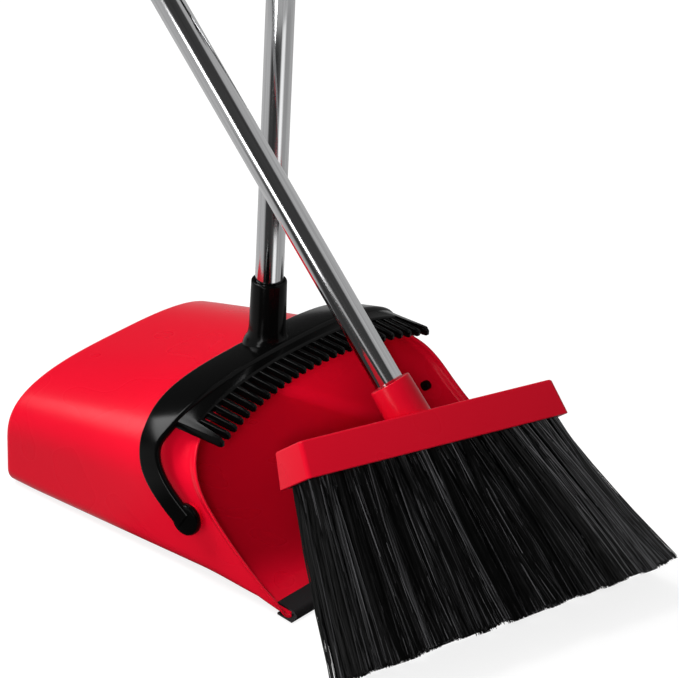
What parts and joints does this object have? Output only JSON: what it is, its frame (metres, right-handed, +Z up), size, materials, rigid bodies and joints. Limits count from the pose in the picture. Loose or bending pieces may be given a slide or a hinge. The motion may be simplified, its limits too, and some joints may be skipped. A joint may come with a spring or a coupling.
{
  "type": "upright dustpan and broom set",
  "caption": "Long-handled hooded dustpan that swings on a comb yoke with a three-section steel pole, with its matching angle broom leaning in front.",
  "frame": {"origin": "Middle of the flat heel under the back of the scoop, on the floor.", "axes": "Z up, the scoop's mouth towards -Y, X across the scoop, along the hinge axis."},
  "size_m": [0.363, 0.8711, 1.1829],
  "materials": {
    "pan_shell": "glossy red moulded plastic",
    "rubber_lip": "black rubber",
    "comb_yoke": "glossy black moulded plastic",
    "black_fitting": "black moulded plastic",
    "pole_steel": "polished stainless steel",
    "broom_red": "glossy red moulded plastic",
    "bristles": "black synthetic fibre"
  },
  "bodies": {
    "handle": {"comb_yoke": "comb_yoke", "pivot_pin_left": "black_fitting", "pivot_pin_right": "black_fitting", "pan_pole_lower": "pole_steel", "pan_pole_middle": "pole_steel", "pan_pole_upper": "pole_steel", "pan_collar_lower": "black_fitting", "pan_collar_upper": "black_fitting", "pan_joiner_lower": "black_fitting", "pan_joiner_upper": "black_fitting", "pan_foot_plug": "black_fitting", "storage_clip_lower": "black_fitting", "storage_clip_upper": "black_fitting", "pan_grip": "black_fitting"},
    "pan": {"pan_shell": "pan_shell", "rubber_lip": "rubber_lip"},
    "broom": {"broom_cap": "broom_red", "bristle_block": "black_fitting", "bristles": "bristles", "broom_pole_lower": "pole_steel", "broom_pole_middle": "pole_steel", "broom_pole_upper": "pole_steel", "broom_collar_lower": "black_fitting", "broom_collar_upper": "black_fitting", "broom_joiner_lower": "black_fitting", "broom_joiner_upper": "black_fitting", "broom_foot_plug": "black_fitting", "broom_grip": "black_fitting", "broom_grip_end": "broom_red"}
  },
  "joints": [
    {"name": "pan_tilt", "type": "hinge", "parent": "handle", "child": "pan", "pos_m": [0, -0.193, 0.052], "axis": [-1, 0, 0], "range_deg": [0, 90]},
    {"name": "broom_lift", "type": "slide", "parent": "handle", "child": "broom", "axis": [0, -0.6, 0.8], "range_m": [0, 0.35]}
  ]
}
